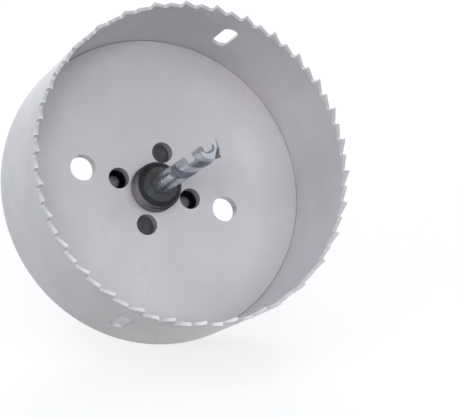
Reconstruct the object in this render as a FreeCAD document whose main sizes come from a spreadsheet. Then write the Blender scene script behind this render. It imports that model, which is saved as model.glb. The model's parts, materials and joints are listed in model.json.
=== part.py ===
import FreeCAD, Part
import math
import os

import Sketcher

# A bi-metal hole saw on its arbor, with the pilot drill.
#
# Every piece is drawn about the arbor's axis: Z runs from the shank to the teeth and
# Z = 0 is the back face of the saw's plate. All pieces then take one and the same
# placement, which lays the tool down as it comes to rest: on the rounded rim of the
# plate and on a flat of the hexagonal shank, with the mouth of the saw facing -Y and up.

# Driving sizes in millimetres and degrees, as cells of the sheet.
SIZES = [
    ("saw_dia", 101.6),
    ("wall_gauge", 1.1),
    ("saw_height", 44.5),
    ("plate_gauge", 3.8),
    ("rim_round", 2.6),
    ("seat_height", 3.0),
    ("seam_gap", 0.12),
    ("strip_height", 4.6),
    ("tooth_pitch", 5.15),
    ("tooth_height", 3.0),
    ("tooth_set", 0.35),
    ("tooth_land", 0.25),
    ("gullet_round", 0.9),
    ("gullet_flat", 0.2),
    ("slot_width", 4.8),
    ("slot_foot", 16.5),
    ("slot_head", 7.4),
    ("slot_turn", 59.2),
    ("hole_turn", -22.8),
    ("pin_hole", 6.9),
    ("pin_web", 1.05),
    ("slug_hole", 8.4),
    ("slug_web", 3.5),
    ("thread_dia", 15.8),
    ("nose_reach", 6.5),
    ("nose_bevel", 2.2),
    ("flange_web", 1.15),
    ("flange_width", 7.0),
    ("thread_length", 27.0),
    ("thread_depth", 0.9),
    ("boss_length", 12.0),
    ("hex_flats", 11.1),
    ("hex_end_dia", 12.0),
    ("shank_reach", 84.0),
    ("drill_dia", 6.35),
    ("drill_reach", 63.0),
    ("drill_tail", 3.0),
    ("point_angle", 130.0),
    ("flute_length", 33.0),
    ("flute_fade", 6.0),
    ("flute_lead", 33.0),
    ("flute_core", 1.7),
    ("flute_floor", 3.4),
    ("flute_mouth", 10.8),
    ("flute_turn", 0),
    ("fade_angle", 20.0),
    ("pin_dia", 6.0),
    ("pin_bevel", 0.9),
    ("pin_backset", 2.5),
    ("pin_margin", 0.5),
    ("drive_width", 5.0),
    ("nut_flats", 24.0),
    ("nut_width", 8.0),
    ("nut_turn", 14.0),
    ("screw_dia", 6.0),
    ("screw_key", 3.0),
    ("screw_sink", 0.4),
    ("flat_depth", 0.6),
    ("flat_length", 9.0),
    ("edge_bevel", 0.6),
    ("slide_gap", 0.3),
    ("fit_gap", 0.05),
]

# Sizes that follow from the driving ones.
DERIVED = [
    ("saw_rad", "saw_dia / 2"),
    ("wall_rad", "saw_rad - wall_gauge"),
    ("weld_level", "saw_height - strip_height"),
    ("root_level", "saw_height - tooth_height"),
    ("tooth_pairs", "round(pi * saw_dia / tooth_pitch / 2)"),
    ("tooth_count", "2 * tooth_pairs"),
    ("pitch_angle", "360 / tooth_count"),
    # Each tooth is a flat block, and its outer corners lie on the saw's circle.
    ("half_pitch", "saw_rad * sin(pitch_angle / 2 * 1deg)"),
    ("tooth_face", "saw_rad * cos(pitch_angle / 2 * 1deg)"),
    ("tooth_back", "tooth_face - wall_gauge"),
    ("thread_rad", "thread_dia / 2"),
    ("nose_top", "plate_gauge + nose_reach"),
    ("pin_path", "thread_rad + pin_web + pin_hole / 2"),
    ("flange_rad", "pin_path + pin_hole / 2 + flange_web"),
    ("slug_path", "flange_rad + slug_web + slug_hole / 2"),
    ("boss_rad", "thread_rad - thread_depth"),
    ("drill_rad", "drill_dia / 2"),
    ("bore_rad", "drill_rad + fit_gap"),
    ("thread_end", "flange_width + thread_length"),
    ("boss_end", "thread_end + boss_length"),
    ("screw_level", "thread_end + boss_length / 2"),
    ("drill_end", "screw_level + drill_tail"),
    ("slot_length", "weld_level - slot_head - slot_foot"),
    ("slot_mid", "slot_foot + slot_length / 2"),
    ("drive_travel", "pin_backset + plate_gauge - pin_margin"),
    ("drive_front", "flange_width + drive_travel"),
    ("drive_back", "drive_front + drive_width"),
    ("nut_back", "drive_back + nut_width"),
    ("hex_rad", "hex_flats / sqrt(3)"),
    ("nut_rad", "nut_flats / sqrt(3)"),
    ("cone_height", "drill_rad / tan(point_angle / 2 * 1deg)"),
    # The tool rests on the rim's round and on the end of a shank flat.
    ("rest_run", "rim_round + shank_reach"),
    ("rest_drop", "saw_rad - rim_round - hex_flats / 2"),
    ("rest_span", "sqrt(rest_run ^ 2 + rest_drop ^ 2)"),
    ("rise_angle", "(atan(rest_drop / rest_run) + asin(rim_round / rest_span)) / 1deg"),
    ("rise_sine", "sin(rise_angle * 1deg)"),
    ("rise_cosine", "cos(rise_angle * 1deg)"),
    ("lean_angle", "90 - rise_angle"),
    ("lift", "shank_reach * rise_sine + hex_flats / 2 * rise_cosine"),
    ("front_run", "saw_height * rise_cosine + (saw_rad + tooth_set) * rise_sine"),
    ("back_run", "shank_reach * rise_cosine + hex_flats / 2 * rise_sine"),
    ("shift", "(front_run - back_run) / 2"),
]


def make_sheet(doc):
    """Write the driving and derived sizes into the sheet, each under its alias."""
    sheet = doc.addObject("Spreadsheet::Sheet", "Sizes")
    for row, (name, value) in enumerate(SIZES, start=1):
        sheet.set(f"A{row}", name)
        sheet.set(f"B{row}", str(value))
        sheet.setAlias(f"B{row}", name)
    for row, (name, formula) in enumerate(DERIVED, start=len(SIZES) + 1):
        sheet.set(f"A{row}", name)
        sheet.set(f"B{row}", "=" + formula)
        sheet.setAlias(f"B{row}", name)
        doc.recompute()
    return sheet


class Drawing:
    """Sketches and features of one body, all bound to the sheet."""

    def __init__(self, doc, label):
        self.doc = doc
        self.body = doc.addObject("PartDesign::Body", label)
        self.body.Label = label
        self.body.AllowCompound = True

    def datum(self, role):
        for feature in self.body.Origin.OriginFeatures:
            if feature.Role == role:
                return feature
        raise ValueError(role)

    def sketch(self, name, role, offset=None, turn=None):
        """Add a sketch on an origin plane, offset along its normal and turned about Z."""
        sketch = self.body.newObject("Sketcher::SketchObject", f"{self.body.Name}_{name}")
        sketch.AttachmentSupport = [(self.datum(role), "")]
        sketch.MapMode = "FlatFace"
        if turn is not None:
            upright = FreeCAD.Vector(0, 0, 1) if role == "XY_Plane" else FreeCAD.Vector(0, 1, 0)
            start = FreeCAD.Rotation(upright, 10)
            sketch.AttachmentOffset = FreeCAD.Placement(FreeCAD.Vector(), start)
            sketch.setExpression("AttachmentOffset.Rotation.Angle", turn)
        if offset is not None:
            sketch.setExpression("AttachmentOffset.Base.z", offset)
        return sketch

    def bind(self, constraint, sketch, expression):
        index = sketch.addConstraint(constraint)
        sketch.setExpression(f"Constraints[{index}]", expression)

    def pin_point(self, sketch, geo, pos, across, along):
        """Tie a point of the sketch to its two sizes from the origin."""
        x, y = self.value(across), self.value(along)
        if abs(x) < 1e-9:
            sketch.addConstraint(Sketcher.Constraint("PointOnObject", geo, pos, -2))
        else:
            self.bind(Sketcher.Constraint("DistanceX", -1, 1, geo, pos, x), sketch, across)
        if abs(y) < 1e-9:
            sketch.addConstraint(Sketcher.Constraint("PointOnObject", geo, pos, -1))
        else:
            self.bind(Sketcher.Constraint("DistanceY", -1, 1, geo, pos, y), sketch, along)

    def value(self, expression):
        """Work out an expression of the sheet's cells."""
        found = self.body.evalExpression(expression)
        return float(getattr(found, "Value", found))

    def polygon(self, sketch, corners):
        """Draw a closed outline through corners given as pairs of expressions."""
        points = [FreeCAD.Vector(self.value(x), self.value(y), 0) for x, y in corners]
        count = len(points)
        for index in range(count):
            line = Part.LineSegment(points[index], points[(index + 1) % count])
            sketch.addGeometry(line, False)
        for index in range(count):
            sketch.addConstraint(Sketcher.Constraint("Coincident", index, 2, (index + 1) % count, 1))
        for index, (across, along) in enumerate(corners):
            self.pin_point(sketch, index, 1, across, along)

    def circle(self, sketch, across, along, radius):
        centre = FreeCAD.Vector(self.value(across), self.value(along), 0)
        geo = sketch.addGeometry(Part.Circle(centre, FreeCAD.Vector(0, 0, 1), self.value(radius)), False)
        self.bind(Sketcher.Constraint("Radius", geo, self.value(radius)), sketch, radius)
        self.pin_point(sketch, geo, 3, across, along)

    def hexagon(self, sketch, radius, along="0"):
        """Draw a regular hexagon with a flat at the bottom."""
        corners = []
        for angle in range(0, 360, 60):
            across = f"{radius} * cos({angle} * 1deg)"
            corners.append((across, f"{along} + {radius} * sin({angle} * 1deg)"))
        self.polygon(sketch, corners)

    def feature(self, kind, name, sketch, **settings):
        item = self.body.newObject(f"PartDesign::{kind}", f"{self.body.Name}_{name}")
        item.Profile = sketch
        for key, setting in settings.items():
            if isinstance(setting, str):
                item.setExpression(key, setting)
            else:
                setattr(item, key, setting)
        sketch.Visibility = False
        self.doc.recompute()
        return item

    def pad(self, name, sketch, length, reverse=False, both=False):
        return self.feature("Pad", name, sketch, Length=length, Reversed=reverse, Midplane=both)

    def pocket(self, name, sketch, length, reverse=False, both=False):
        """Cut the sketch out of the body and make sure that it did."""
        before = self.body.Shape.Volume
        item = self.feature("Pocket", name, sketch, Length=length, Reversed=reverse, Midplane=both)
        if not self.body.Shape.Volume < before - 1e-3:
            raise RuntimeError(f"{item.Name} cuts nothing")
        return item

    def turned(self, name, sketch, kind="Revolution", axis="V_Axis"):
        """Revolve the sketch right round one of its axes."""
        item = self.body.newObject(f"PartDesign::{kind}", f"{self.body.Name}_{name}")
        item.Profile = sketch
        item.ReferenceAxis = (sketch, [axis])
        item.Angle = 360
        sketch.Visibility = False
        self.doc.recompute()
        return item

    def helix(self, name, sketch, height, reverse=False, flare=None):
        """Cut the sketch along a right-hand helix about its upright axis."""
        item = self.body.newObject("PartDesign::SubtractiveHelix", f"{self.body.Name}_{name}")
        item.Profile = sketch
        item.ReferenceAxis = (sketch, ["V_Axis"])
        item.Mode = "pitch-height-angle"
        item.setExpression("Pitch", "Sizes.flute_lead")
        item.setExpression("Height", height)
        item.Reversed = reverse
        if flare is not None:
            item.setExpression("Angle", flare)
        sketch.Visibility = False
        self.doc.recompute()
        return item

    def ring_of(self, name, originals, count):
        """Repeat features evenly about the arbor's axis."""
        pattern = self.body.newObject("PartDesign::PolarPattern", f"{self.body.Name}_{name}")
        pattern.Originals = originals
        pattern.Axis = (self.datum("Z_Axis"), [""])
        pattern.Angle = 360
        if isinstance(count, str):
            pattern.setExpression("Occurrences", count)
        else:
            pattern.Occurrences = count
        self.body.Tip = pattern
        self.doc.recompute()
        return pattern


def draw_back_plate(doc):
    """The thick disc that closes the saw, with a shoulder that the wall sits on."""
    part = Drawing(doc, "back_plate")
    section = part.sketch("section", "XZ_Plane")
    part.polygon(section, [
        ("Sizes.thread_rad + Sizes.fit_gap", "0"),
        *round_rim(),
        ("Sizes.saw_rad", "Sizes.seat_height"),
        ("Sizes.wall_rad - Sizes.seam_gap", "Sizes.seat_height"),
        ("Sizes.wall_rad - Sizes.seam_gap", "Sizes.plate_gauge"),
        ("Sizes.thread_rad + Sizes.fit_gap", "Sizes.plate_gauge"),
    ])
    part.turned("disc", section)
    drilled = part.sketch("pin_hole_outline", "XY_Plane", turn="Sizes.hole_turn")
    part.circle(drilled, "Sizes.pin_path", "0", "Sizes.pin_hole / 2")
    hole = part.pocket("pin_hole", drilled, "Sizes.plate_gauge + 1", reverse=True)
    part.ring_of("pin_holes", [hole], 4)
    drilled = part.sketch("slug_hole_outline", "XY_Plane", turn="Sizes.hole_turn")
    part.circle(drilled, "Sizes.slug_path", "0", "Sizes.slug_hole / 2")
    hole = part.pocket("slug_hole", drilled, "Sizes.plate_gauge + 1", reverse=True)
    part.ring_of("slug_holes", [hole], 2)
    return part.body


def round_rim():
    """List the corners of the rim's round, one of them where the tool rests."""
    across, along = "Sizes.saw_rad - Sizes.rim_round", "Sizes.rim_round"
    corners = []
    for angle in ("90", "(45 + Sizes.rise_angle / 2)", "Sizes.rise_angle", "0"):
        corners.append((
            f"{across} + Sizes.rim_round * cos({angle} * 1deg)",
            f"{along} - Sizes.rim_round * sin({angle} * 1deg)",
        ))
    return corners


def draw_saw_wall(doc):
    """The rolled steel strip between plate and teeth, with its two slots."""
    part = Drawing(doc, "saw_wall")
    ring = part.sketch("ring", "XY_Plane", offset="Sizes.seat_height")
    part.circle(ring, "0", "0", "Sizes.saw_rad")
    part.circle(ring, "0", "0", "Sizes.wall_rad")
    part.pad("strip", ring, "Sizes.weld_level - Sizes.seat_height")
    outline = part.sketch("slot_outline", "XZ_Plane", turn="Sizes.slot_turn - 90")
    draw_slot(part, outline, "Sizes.slot_mid", "Sizes.slot_length", "Sizes.slot_width")
    part.pocket("slots", outline, "Sizes.saw_dia + 4", both=True)
    return part.body


def draw_slot(part, sketch, middle, length, width):
    """Draw an upright slot with round ends on the sketch's vertical axis."""
    radius = part.value(f"{width} / 2")
    high = f"{middle} + ({length} - {width}) / 2"
    low = f"{middle} - ({length} - {width}) / 2"
    top = FreeCAD.Vector(0, part.value(high), 0)
    bottom = FreeCAD.Vector(0, part.value(low), 0)
    side = FreeCAD.Vector(radius, 0, 0)
    normal = FreeCAD.Vector(0, 0, 1)
    upper = sketch.addGeometry(Part.ArcOfCircle(Part.Circle(top, normal, radius), 0, math.pi), False)
    left = sketch.addGeometry(Part.LineSegment(top - side, bottom - side), False)
    lower = sketch.addGeometry(
        Part.ArcOfCircle(Part.Circle(bottom, normal, radius), math.pi, 2 * math.pi), False)
    right = sketch.addGeometry(Part.LineSegment(bottom + side, top + side), False)
    for first, second in ((upper, left), (left, lower), (lower, right), (right, upper)):
        sketch.addConstraint(Sketcher.Constraint("Tangent", first, 2, second, 1))
    sketch.addConstraint(Sketcher.Constraint("Vertical", left))
    part.pin_point(sketch, upper, 3, "0", high)
    part.pin_point(sketch, lower, 3, "0", low)
    part.bind(Sketcher.Constraint("Radius", upper, radius), sketch, f"{width} / 2")


def draw_cutting_edge(doc):
    """The hard steel strip welded to the wall: hook teeth set out and in by turns."""
    part = Drawing(doc, "cutting_edge")
    teeth = []
    for name, lean, turn in (("out", "+", "0"), ("in", "-", "Sizes.pitch_angle")):
        section = part.sketch(f"section_{name}", "XZ_Plane", turn=turn)
        part.polygon(section, [
            ("Sizes.tooth_back", "Sizes.weld_level"),
            ("Sizes.tooth_face", "Sizes.weld_level"),
            ("Sizes.tooth_face", "Sizes.root_level"),
            (f"Sizes.tooth_face {lean} Sizes.tooth_set", "Sizes.saw_height"),
            (f"Sizes.tooth_back {lean} Sizes.tooth_set", "Sizes.saw_height"),
            ("Sizes.tooth_back", "Sizes.root_level"),
        ])
        teeth.append(part.pad(f"tooth_{name}", section, "2 * Sizes.half_pitch", both=True))
    part.ring_of("teeth", teeth, "Sizes.tooth_pairs")
    inside = "Sizes.tooth_back - Sizes.tooth_set - 0.2"
    gullet = part.sketch("gullet_outline", "YZ_Plane", offset=inside)
    draw_gullet(part, gullet)
    cut = part.pocket("gullet", gullet, "Sizes.wall_gauge + 2 * Sizes.tooth_set + 0.7", reverse=True)
    part.ring_of("gullets", [cut], "Sizes.tooth_count")
    return part.body


def draw_gullet(part, sketch):
    """Draw the space between two teeth: an upright face, a blunted root, a sloping back."""
    face = "-Sizes.half_pitch - Sizes.gullet_flat / 2 - Sizes.gullet_round"
    tip = f"2 * Sizes.half_pitch + {face} - Sizes.tooth_land"
    above = "Sizes.saw_height + 1"
    part.polygon(sketch, [
        (face, above),
        (face, "Sizes.root_level + Sizes.gullet_round"),
        (f"{face} + 0.3 * Sizes.gullet_round", "Sizes.root_level + 0.3 * Sizes.gullet_round"),
        (f"{face} + Sizes.gullet_round", "Sizes.root_level"),
        (f"{face} + Sizes.gullet_round + Sizes.gullet_flat", "Sizes.root_level"),
        (tip, "Sizes.saw_height"),
        (tip, above),
    ])


def draw_arbor_body(doc):
    """The turned arbor: threaded nose, flange, nut thread, boss and hexagonal shank."""
    part = Drawing(doc, "arbor_body")
    section = part.sketch("section", "XZ_Plane")
    part.polygon(section, [
        ("0", "Sizes.nose_top"),
        ("Sizes.thread_rad - Sizes.nose_bevel", "Sizes.nose_top"),
        ("Sizes.thread_rad", "Sizes.nose_top - Sizes.nose_bevel"),
        ("Sizes.thread_rad", "0"),
        ("Sizes.flange_rad", "0"),
        ("Sizes.flange_rad", "Sizes.edge_bevel - Sizes.flange_width"),
        ("Sizes.flange_rad - Sizes.edge_bevel", "-Sizes.flange_width"),
        ("Sizes.thread_rad", "-Sizes.flange_width"),
        ("Sizes.thread_rad", "-Sizes.thread_end"),
        ("Sizes.boss_rad", "-Sizes.thread_end"),
        ("Sizes.boss_rad", "-Sizes.boss_end"),
        ("0", "-Sizes.boss_end"),
    ])
    part.turned("turned_body", section)
    shank = part.sketch("shank_outline", "XY_Plane", offset="-Sizes.shank_reach")
    part.hexagon(shank, "Sizes.hex_rad")
    part.pad("shank", shank, "Sizes.shank_reach - Sizes.boss_end + 0.5")
    corner = part.sketch("shank_corner", "XZ_Plane")
    part.polygon(corner, [
        ("Sizes.hex_end_dia / 2", "-Sizes.shank_reach"),
        ("Sizes.hex_rad + 1", "-Sizes.shank_reach - 1"),
        ("Sizes.hex_rad + 1", "Sizes.hex_rad + 1 - Sizes.hex_end_dia / 2 - Sizes.shank_reach"),
    ])
    bevel = part.pocket("shank_bevel", corner, "Sizes.hex_rad", both=True)
    part.ring_of("shank_bevels", [bevel], 6)
    bored = part.sketch("bore_outline", "XY_Plane", offset="Sizes.nose_top")
    part.circle(bored, "0", "0", "Sizes.bore_rad")
    part.pocket("bore", bored, "Sizes.nose_top + Sizes.drill_end + 1")
    drilled = part.sketch("pin_way_outline", "XY_Plane", turn="Sizes.hole_turn")
    part.circle(drilled, "Sizes.pin_path", "0", "Sizes.pin_hole / 2")
    way = part.pocket("pin_way", drilled, "Sizes.flange_width + 1")
    part.ring_of("pin_ways", [way], 2)
    tapped = part.sketch("screw_hole_outline", "XZ_Plane")
    part.circle(tapped, "0", "-Sizes.screw_level", "Sizes.screw_dia / 2 + Sizes.fit_gap")
    part.pocket("screw_hole", tapped, "Sizes.boss_rad + 1")
    return part.body


def draw_drive_plate(doc):
    """The sliding ring that carries the two drive pins."""
    part = Drawing(doc, "drive_plate")
    section = part.sketch("section", "XZ_Plane")
    inner = "Sizes.thread_rad + Sizes.slide_gap"
    part.polygon(section, [
        (inner, "-Sizes.drive_front"),
        ("Sizes.flange_rad", "-Sizes.drive_front"),
        ("Sizes.flange_rad", "Sizes.edge_bevel - Sizes.drive_back"),
        ("Sizes.flange_rad - Sizes.edge_bevel", "-Sizes.drive_back"),
        (inner, "-Sizes.drive_back"),
    ])
    part.turned("ring", section)
    outline = part.sketch("pin_seat_outline", "XY_Plane", turn="Sizes.hole_turn")
    part.circle(outline, "Sizes.pin_path", "0", "Sizes.pin_dia / 2 + Sizes.fit_gap / 2")
    seat = part.pocket("pin_seat", outline, "Sizes.drive_back + 1")
    part.ring_of("pin_seats", [seat], 2)
    return part.body


def draw_drive_pins(doc):
    """The two pins pressed into the drive plate, bevelled where they enter the saw."""
    part = Drawing(doc, "drive_pins")
    section = part.sketch("section", "XZ_Plane", turn="Sizes.hole_turn")
    middle = "Sizes.pin_path"
    part.polygon(section, [
        (middle, "-Sizes.drive_back"),
        (f"{middle} + Sizes.pin_dia / 2", "-Sizes.drive_back"),
        (f"{middle} + Sizes.pin_dia / 2", "-Sizes.pin_backset - Sizes.pin_bevel"),
        (f"{middle} + Sizes.pin_dia / 2 - Sizes.pin_bevel", "-Sizes.pin_backset"),
        (middle, "-Sizes.pin_backset"),
    ])
    axis = Part.LineSegment(
        FreeCAD.Vector(part.value(middle), 0, 0), FreeCAD.Vector(part.value(middle), 5, 0))
    line = section.addGeometry(axis, True)
    part.pin_point(section, line, 1, middle, "0")
    part.pin_point(section, line, 2, middle, "5")
    pin = part.turned("pin", section, axis="Axis0")
    part.ring_of("pins", [pin], 2)
    return part.body


def draw_lock_nut(doc):
    """The hexagonal nut behind the drive plate, bevelled on its back."""
    part = Drawing(doc, "lock_nut")
    outline = part.sketch("outline", "XY_Plane", offset="-Sizes.nut_back", turn="Sizes.nut_turn")
    part.hexagon(outline, "Sizes.nut_rad")
    part.circle(outline, "0", "0", "Sizes.thread_rad + Sizes.fit_gap")
    part.pad("blank", outline, "Sizes.nut_width")
    low = "Sizes.nut_flats / 2 - 0.3"
    drop = "(Sizes.nut_rad + 1 - Sizes.nut_flats / 2 + 0.3) * tan(30 * 1deg)"
    corner = part.sketch("corner", "XZ_Plane")
    part.polygon(corner, [
        (low, "-Sizes.nut_back"),
        ("Sizes.nut_rad + 1", f"{drop} - Sizes.nut_back"),
        ("Sizes.nut_rad + 1", "-Sizes.nut_back - 1"),
        (low, "-Sizes.nut_back - 1"),
    ])
    part.turned("bevel", corner, kind="Groove")
    return part.body


def draw_pilot_drill(doc):
    """The twist drill in the arbor, with two helical flutes and a flat for the screw."""
    part = Drawing(doc, "pilot_drill")
    section = part.sketch("section", "XZ_Plane")
    part.polygon(section, [
        ("0", "Sizes.drill_reach"),
        ("Sizes.drill_rad", "Sizes.drill_reach - Sizes.cone_height"),
        ("Sizes.drill_rad", "0.5 - Sizes.drill_end"),
        ("Sizes.drill_rad - 0.5", "-Sizes.drill_end"),
        ("0", "-Sizes.drill_end"),
    ])
    part.turned("rod", section)
    flat = part.sketch("flat_outline", "XZ_Plane")
    half = "Sizes.flat_length / 2"
    part.polygon(flat, [
        ("-Sizes.drill_rad - 1", f"-Sizes.screw_level - {half}"),
        ("Sizes.drill_rad + 1", f"-Sizes.screw_level - {half}"),
        ("Sizes.drill_rad + 1", f"{half} - Sizes.screw_level"),
        ("-Sizes.drill_rad - 1", f"{half} - Sizes.screw_level"),
    ])
    flat.setExpression("AttachmentOffset.Base.z", "Sizes.flat_depth - Sizes.drill_rad")
    part.pocket("flat", flat, "Sizes.drill_rad")
    outline = part.sketch("flute_outline", "XZ_Plane", turn="Sizes.flute_turn")
    draw_flute(part, outline)
    flute = part.helix("flute", outline, "Sizes.flute_length")
    fade = part.helix("flute_fade", outline, "Sizes.flute_fade", reverse=True, flare="Sizes.fade_angle")
    part.ring_of("flutes", [flute, fade], 2)
    return part.body


def draw_flute(part, sketch):
    """Draw one flute's section: a hollow of three lines, closed outside the drill."""
    core = "Sizes.flute_core / 2"
    outer = "Sizes.drill_rad + 0.5"
    level = "Sizes.drill_reach - Sizes.flute_length + Sizes.flute_fade"
    part.polygon(sketch, [
        (core, f"{level} - Sizes.flute_floor / 2"),
        (outer, f"{level} - Sizes.flute_mouth / 2"),
        (outer, f"{level} + Sizes.flute_mouth / 2"),
        (core, f"{level} + Sizes.flute_floor / 2"),
    ])


def draw_set_screw(doc):
    """The socket screw that holds the drill in the boss."""
    part = Drawing(doc, "set_screw")
    top = "Sizes.boss_rad - Sizes.screw_sink"
    bottom = "Sizes.drill_rad - Sizes.flat_depth"
    outline = part.sketch("outline", "XZ_Plane", offset=f"-({bottom})")
    part.circle(outline, "0", "-Sizes.screw_level", "Sizes.screw_dia / 2")
    part.pad("slug", outline, f"{top} - ({bottom})", reverse=True)
    key = part.sketch("key_outline", "XZ_Plane", offset=f"-({top})")
    part.hexagon(key, "Sizes.screw_key / sqrt(3)", along="-Sizes.screw_level")
    part.pocket("key", key, "Sizes.screw_key", reverse=True)
    return part.body


def lay_down(body):
    """Give a piece the placement that the whole tool rests in."""
    body.Placement = FreeCAD.Placement(
        FreeCAD.Vector(0, 0, 1), FreeCAD.Rotation(FreeCAD.Vector(1, 0, 0), 60))
    body.setExpression("Placement.Rotation.Angle", "Sizes.lean_angle")
    body.setExpression("Placement.Base.y", "Sizes.shift")
    body.setExpression("Placement.Base.z", "Sizes.lift")


def check(doc, bodies):
    """Refuse a document with a failed feature or a broken solid."""
    for item in doc.Objects:
        if "Invalid" in item.State or "Error" in item.State:
            raise RuntimeError(f"{item.Name} failed: {item.State}")
    for body in bodies:
        if body.Shape.isNull() or not body.Shape.isValid():
            raise RuntimeError(f"{body.Name} has no valid shape")


def main():
    os.makedirs("parts", exist_ok=True)
    doc = FreeCAD.newDocument("hole_saw")
    make_sheet(doc)
    bodies = [
        draw_back_plate(doc),
        draw_saw_wall(doc),
        draw_cutting_edge(doc),
        draw_arbor_body(doc),
        draw_drive_plate(doc),
        draw_drive_pins(doc),
        draw_lock_nut(doc),
        draw_pilot_drill(doc),
        draw_set_screw(doc),
    ]
    for body in bodies:
        lay_down(body)
    doc.recompute()
    check(doc, bodies)
    for body in bodies:
        body.Shape.exportStep(f"parts/{body.Label}.step")
        print(body.Label, round(body.Shape.Volume, 1), len(body.Shape.Solids))


main()
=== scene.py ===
"""A bi-metal hole saw on its arbor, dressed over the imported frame.

The saw lies as it comes to rest: on the rounded rim of its plate and on the end of the
hexagonal shank. Every piece is drawn in millimetres about the arbor's axis, with Z from the
shank to the teeth and zero at the back of the plate, and is then laid where the frame has it.
"""

import json
import logging
import math
from dataclasses import dataclass
from enum import Enum
from typing import Iterable, Sequence

import bmesh
import bpy
from mathutils import Matrix, Vector


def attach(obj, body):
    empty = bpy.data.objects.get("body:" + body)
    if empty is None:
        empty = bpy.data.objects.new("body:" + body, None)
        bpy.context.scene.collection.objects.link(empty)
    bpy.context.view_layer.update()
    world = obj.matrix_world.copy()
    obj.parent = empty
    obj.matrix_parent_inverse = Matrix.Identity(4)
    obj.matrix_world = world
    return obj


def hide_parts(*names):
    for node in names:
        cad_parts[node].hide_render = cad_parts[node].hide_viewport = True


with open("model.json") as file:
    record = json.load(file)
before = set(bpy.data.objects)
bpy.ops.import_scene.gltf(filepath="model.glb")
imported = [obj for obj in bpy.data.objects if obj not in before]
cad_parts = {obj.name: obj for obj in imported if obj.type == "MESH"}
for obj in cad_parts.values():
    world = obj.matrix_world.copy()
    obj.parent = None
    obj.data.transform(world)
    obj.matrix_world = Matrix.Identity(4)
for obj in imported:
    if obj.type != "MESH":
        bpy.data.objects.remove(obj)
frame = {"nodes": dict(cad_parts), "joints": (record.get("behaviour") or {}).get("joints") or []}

log = logging.getLogger("hole_saw")

MM = 0.001
FULL_TURN = math.tau

# Points nearer than this, in millimetres, are one.
MERGE = 1e-4

# A point this near the border of two teeth, in teeth, goes with the first of them.
BORDER = 1e-6

# The four holes round the hub, which plate, flange and drive plate share.
HOLE_TURN = -22.8
PIN_PATH = 12.4
PIN_HOLE = 3.45


class Body(Enum):
    """The bodies of the frame that pieces ride on."""

    SAW = "saw"
    DRIVE = "drive_plate"
    NUT = "lock_nut"


class Slot(Enum):
    """The record's material slots."""

    ENAMEL = "painted_steel"
    TEETH = "painted_teeth"
    OXIDE = "black_oxide"
    TURNED = "machined_steel"
    BRIGHT = "bright_steel"


@dataclass(frozen=True)
class Lay:
    """How the tool lies: the turn about X and the place of the plate's back."""

    lean: float
    origin: Vector

    @classmethod
    def from_frame(cls, nut_level: float) -> "Lay":
        """Read the lay from the nut's hinge.

        Args:
            nut_level: where the hinge sits on the arbor's axis, in millimetres.

        Returns:
            The lay of the whole tool.
        """
        hinge = next(joint for joint in frame["joints"] if joint["type"] == "hinge")
        direction = Vector(hinge["axis"])
        origin = Vector(hinge["pos_m"]) - direction * nut_level * MM
        return cls(math.atan2(-direction.y, direction.z), origin)

    def matrix(self) -> Matrix:
        """Return the step from the tool's millimetres to the frame's metres."""
        turn = Matrix.Rotation(self.lean, 4, "X")
        return Matrix.Translation(self.origin) @ turn @ Matrix.Scale(MM, 4)


# The nut turns about its middle, 21.8 mm behind the plate's back.
LAY = Lay.from_frame(nut_level=-21.8)


# ---------------------------------------------------------------- shapes


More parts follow.
